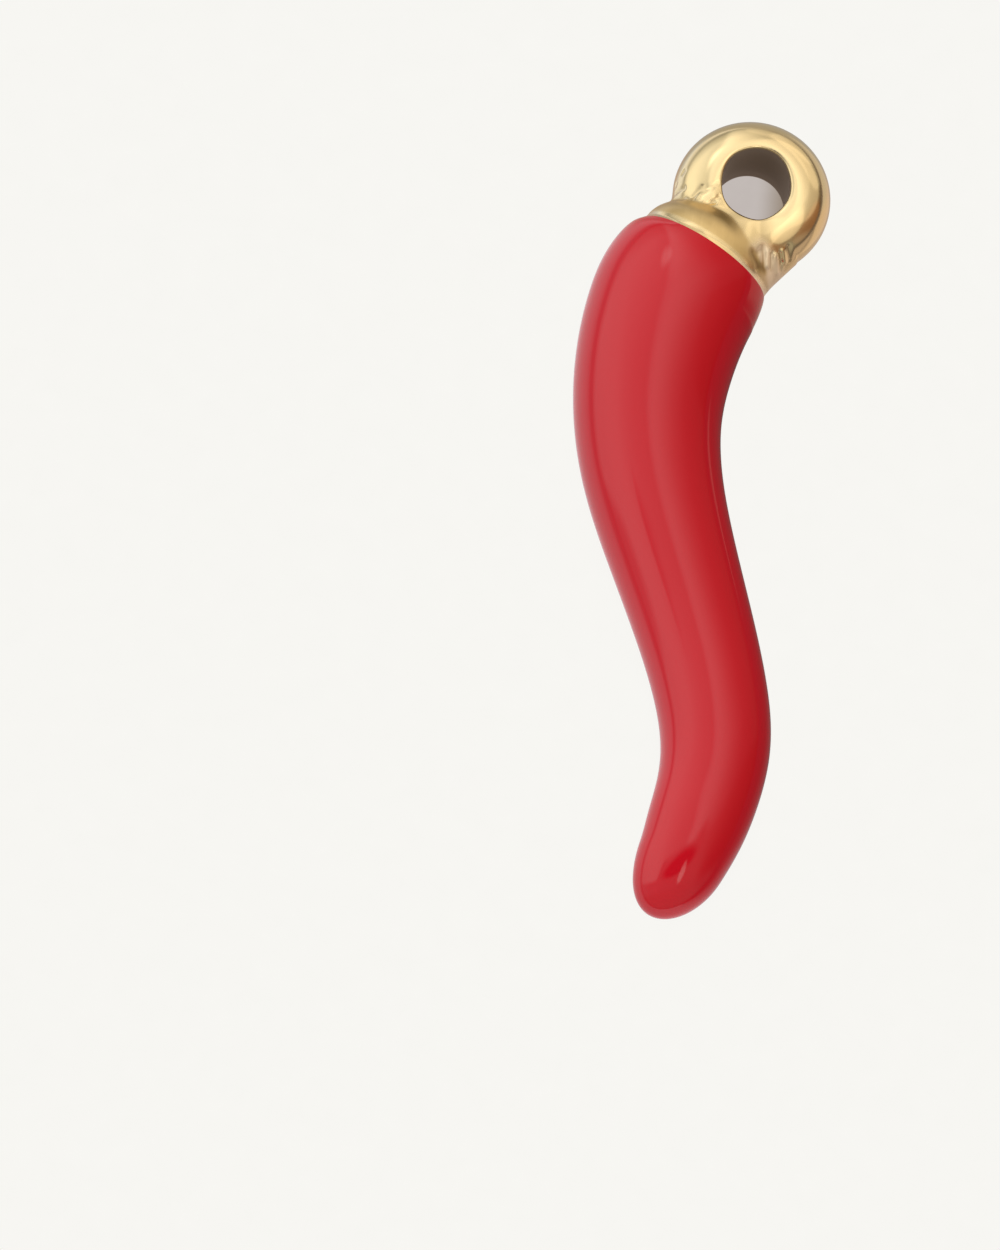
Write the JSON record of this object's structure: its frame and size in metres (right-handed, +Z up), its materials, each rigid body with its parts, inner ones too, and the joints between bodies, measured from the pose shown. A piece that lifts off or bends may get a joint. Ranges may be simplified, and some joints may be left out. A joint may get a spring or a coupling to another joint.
{
  "type": "chili pepper charm",
  "caption": "S-curved chili pepper charm in glossy enamel over metal, with a domed metal cap and a thick round hanging ring.",
  "frame": {"origin": "middle of the footprint, on the flat surface that the charm lies on", "axes": "+Z up, +Y from the pepper's tip to the hanging ring, +X to the side that the lower end of the pepper bulges to, seen from above"},
  "size_m": [0.0054, 0.019, 0.0034],
  "materials": {
    "gold_plated_steel": "polished gold plating on the ring, softer satin on the dome",
    "red_enamel": "glossy opaque red enamel"
  },
  "bodies": {
    "root": {"ring_and_core": "gold_plated_steel", "enamel_coat": "red_enamel"}
  },
  "joints": []
}
